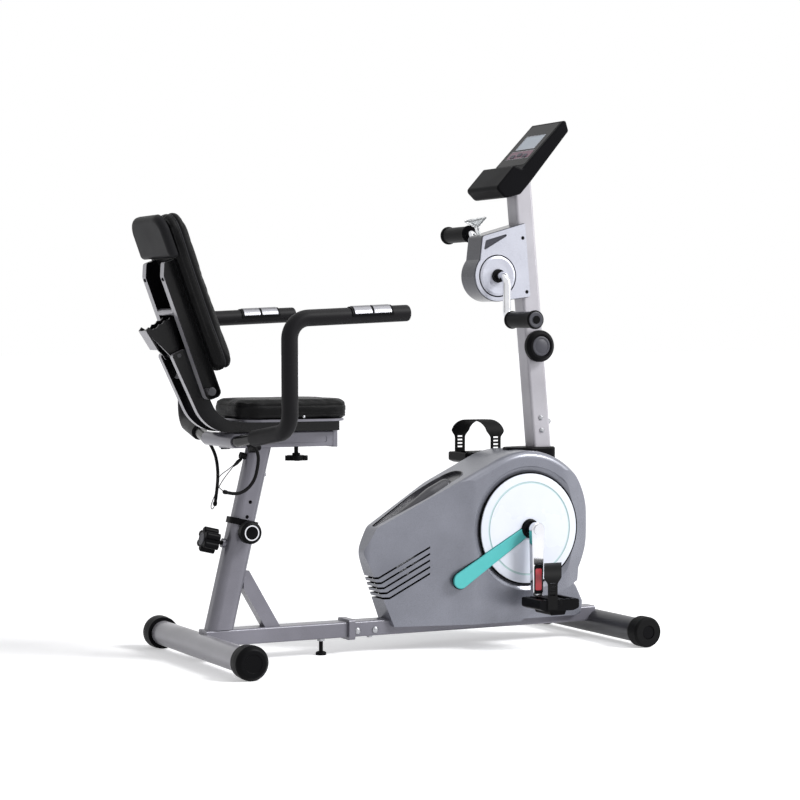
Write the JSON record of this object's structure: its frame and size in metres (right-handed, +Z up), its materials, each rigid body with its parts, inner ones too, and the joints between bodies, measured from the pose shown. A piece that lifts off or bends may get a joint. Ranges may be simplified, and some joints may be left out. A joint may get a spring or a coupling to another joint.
{
  "type": "exercise bike",
  "caption": "Recumbent exercise bike with padded seat and reclining back, armrests, drive housing with strapped pedals, mast with hand crank and console.",
  "frame": {"origin": "middle of the bike's length and width, on the floor", "axes": "+X forward from the seat towards the mast, +Y to the rider's left, +Z up"},
  "size_m": [1.2662, 0.686, 1.3116],
  "materials": {
    "silver_paint": "satin",
    "light_paint": "satin",
    "dark_paint": "satin",
    "shell_grey": "satin metallic",
    "silver_shell": "satin metallic",
    "black_plastic": "matt",
    "black_gloss": "gloss",
    "white_plastic": "gloss",
    "red_plastic": "gloss",
    "clear_plastic": "clear",
    "foam": "matt",
    "rubber": "matt",
    "leatherette": "satin",
    "chrome": "polished",
    "zinc": "zinc plated",
    "cast_iron": "machined"
  },
  "bodies": {
    "frame": {"rear_stabiliser": "silver_paint", "rear_end_caps": "black_plastic", "rear_beam": "silver_paint", "front_beam": "silver_paint", "frame_bolts": "zinc", "front_stabiliser": "dark_paint", "seat_sleeve": "silver_paint", "sleeve_collar": "black_plastic", "seat_brace": "silver_paint", "housing_right": "shell_grey", "housing_left": "shell_grey", "scoop_insert": "black_plastic", "housing_discs": "white_plastic", "foot_cover": "silver_shell", "mast_collar": "black_plastic", "drive_carrier": "silver_paint", "drive_belt": "rubber", "mast": "light_paint", "hand_core": "black_plastic", "hand_covers": "silver_shell", "console_body": "black_plastic", "console_face": "black_gloss"},
    "wheel_r": {"wheel_right": "black_plastic"},
    "wheel_l": {"wheel_left": "black_plastic"},
    "foot": {"levelling_foot": "black_plastic"},
    "post": {"seat_post": "silver_paint", "seat_rail": "silver_paint", "handlebars": "dark_paint", "armrest_foam": "foam", "pulse_pads": "black_plastic", "lead_sheaths": "rubber", "lead_wires": "rubber", "lead_plugs": "rubber"},
    "pull_knob": {"post_pull_knob": "black_plastic"},
    "clamp_knob": {"post_clamp_knob": "black_plastic"},
    "bar_knob_r": {"bar_knob_right": "black_plastic"},
    "bar_knob_l": {"bar_knob_left": "black_plastic"},
    "seat": {"seat_slider": "silver_paint", "back_arms": "silver_paint", "seat_pan": "black_plastic", "seat_pad": "leatherette"},
    "rail_clamp": {"rail_knob": "black_plastic"},
    "back": {"back_frame": "silver_paint", "back_cushion": "leatherette", "back_shell": "black_plastic"},
    "rack": {"prop_rack": "black_gloss"},
    "flywheel_body": {"flywheel": "cast_iron"},
    "crank": {"crank_arms": "chrome", "crank_inserts": "red_plastic", "drive_pulley": "black_plastic"},
    "pedal_r": {"pedal_right": "black_plastic"},
    "pedal_l": {"pedal_left": "black_plastic"},
    "hand": {"hand_crank": "chrome"},
    "grip_r": {"hand_grip_right": "black_plastic"},
    "grip_l": {"hand_grip_left": "black_plastic"},
    "tension": {"tension_knob": "black_plastic"},
    "bowl": {"bowl_knob": "clear_plastic"},
    "key_1": {"console_key_1": "red_plastic"},
    "key_2": {"console_key_2": "red_plastic"},
    "key_3": {"console_key_3": "red_plastic"}
  },
  "joints": [
    {"name": "post_height", "type": "slide", "parent": "frame", "child": "post", "axis": [0.2334, 0, 0.9724], "range_m": [-0.072, 0.072]},
    {"name": "pull_pin", "type": "slide", "parent": "frame", "child": "pull_knob", "axis": [0, -1, 0], "range_m": [0, 0.008], "stiffness_N_per_m": 400, "springref_m": -0.002},
    {"name": "clamp_turn", "type": "hinge", "parent": "frame", "child": "clamp_knob", "pos_m": [-0.45157, 0, 0.28747], "axis": [-0.9724, 0, 0.2334], "range_deg": [0, 180]},
    {"name": "seat_slide", "type": "slide", "parent": "post", "child": "seat", "axis": [1, 0, 0], "range_m": [-0.06, 0.04]},
    {"name": "rail_knob_turn", "type": "hinge", "parent": "post", "child": "rail_clamp", "pos_m": [-0.2425, 0, 0.48], "axis": [0, 0, 1], "range_deg": [0, 180]},
    {"name": "back_recline", "type": "hinge", "parent": "seat", "child": "back", "pos_m": [-0.4895, 0, 0.644], "axis": [0, -1, 0], "range_deg": [0, 10]},
    {"name": "rack_tilt", "type": "hinge", "parent": "seat", "child": "rack", "pos_m": [-0.5595, 0, 0.728], "axis": [0, -1, 0], "range_deg": [0, 10]},
    {"name": "bar_knob_right_turn", "type": "hinge", "parent": "post", "child": "bar_knob_r", "pos_m": [-0.3995, -0.084, 0.522], "axis": [1, 0, 0], "range_deg": [0, 180]},
    {"name": "bar_knob_left_turn", "type": "hinge", "parent": "post", "child": "bar_knob_l", "pos_m": [-0.3995, 0.084, 0.522], "axis": [1, 0, 0], "range_deg": [0, 180]},
    {"name": "flywheel_spin", "type": "hinge", "parent": "frame", "child": "flywheel_body", "pos_m": [0.1355, 0, 0.25], "axis": [0, 1, 0], "continuous": true},
    {"name": "crank_spin", "type": "hinge", "parent": "frame", "child": "crank", "pos_m": [0.3545, 0, 0.2925], "axis": [0, 1, 0], "continuous": true},
    {"name": "pedal_right_spin", "type": "hinge", "parent": "crank", "child": "pedal_r", "pos_m": [0.3545, -0.191, 0.1225], "axis": [0, 1, 0], "continuous": true},
    {"name": "pedal_left_spin", "type": "hinge", "parent": "crank", "child": "pedal_l", "pos_m": [0.3545, 0.191, 0.4625], "axis": [0, 1, 0], "continuous": true},
    {"name": "hand_spin", "type": "hinge", "parent": "frame", "child": "hand", "pos_m": [0.2915, 0, 0.922], "axis": [0, 1, 0], "continuous": true},
    {"name": "grip_right_spin", "type": "hinge", "parent": "hand", "child": "grip_r", "pos_m": [0.2915, -0.167, 0.812], "axis": [0, 1, 0], "continuous": true},
    {"name": "grip_left_spin", "type": "hinge", "parent": "hand", "child": "grip_l", "pos_m": [0.2915, 0.167, 1.032], "axis": [0, 1, 0], "continuous": true},
    {"name": "tension_turn", "type": "hinge", "parent": "frame", "child": "tension", "pos_m": [0.4085, -0.04, 0.7468], "axis": [0, -1, 0], "range_deg": [0, 270]},
    {"name": "bowl_turn", "type": "hinge", "parent": "frame", "child": "bowl", "pos_m": [0.2585, 0, 1.02], "axis": [-0.217, 0, 0.9762], "range_deg": [0, 270]},
    {"name": "wheel_right_spin", "type": "hinge", "parent": "frame", "child": "wheel_r", "pos_m": [0.5951, -0.24, 0.038], "axis": [0, 1, 0], "continuous": true},
    {"name": "wheel_left_spin", "type": "hinge", "parent": "frame", "child": "wheel_l", "pos_m": [0.5951, 0.24, 0.038], "axis": [0, 1, 0], "continuous": true},
    {"name": "foot_turn", "type": "hinge", "parent": "frame", "child": "foot", "pos_m": [-0.1775, 0, 0.02], "axis": [0, 0, 1], "range_deg": [-180, 180]},
    {"name": "key_1_press", "type": "slide", "parent": "frame", "child": "key_1", "axis": [0.7208, 0, -0.6931], "range_m": [0, 0.0012], "stiffness_N_per_m": 600, "springref_m": -0.0006},
    {"name": "key_2_press", "type": "slide", "parent": "frame", "child": "key_2", "axis": [0.7208, 0, -0.6931], "range_m": [0, 0.0012], "stiffness_N_per_m": 600, "springref_m": -0.0006},
    {"name": "key_3_press", "type": "slide", "parent": "frame", "child": "key_3", "axis": [0.7208, 0, -0.6931], "range_m": [0, 0.0012], "stiffness_N_per_m": 600, "springref_m": -0.0006}
  ],
  "couplings": [
    {"joint": "crank_spin", "follows": "flywheel_spin", "ratio": 0.20619}
  ]
}
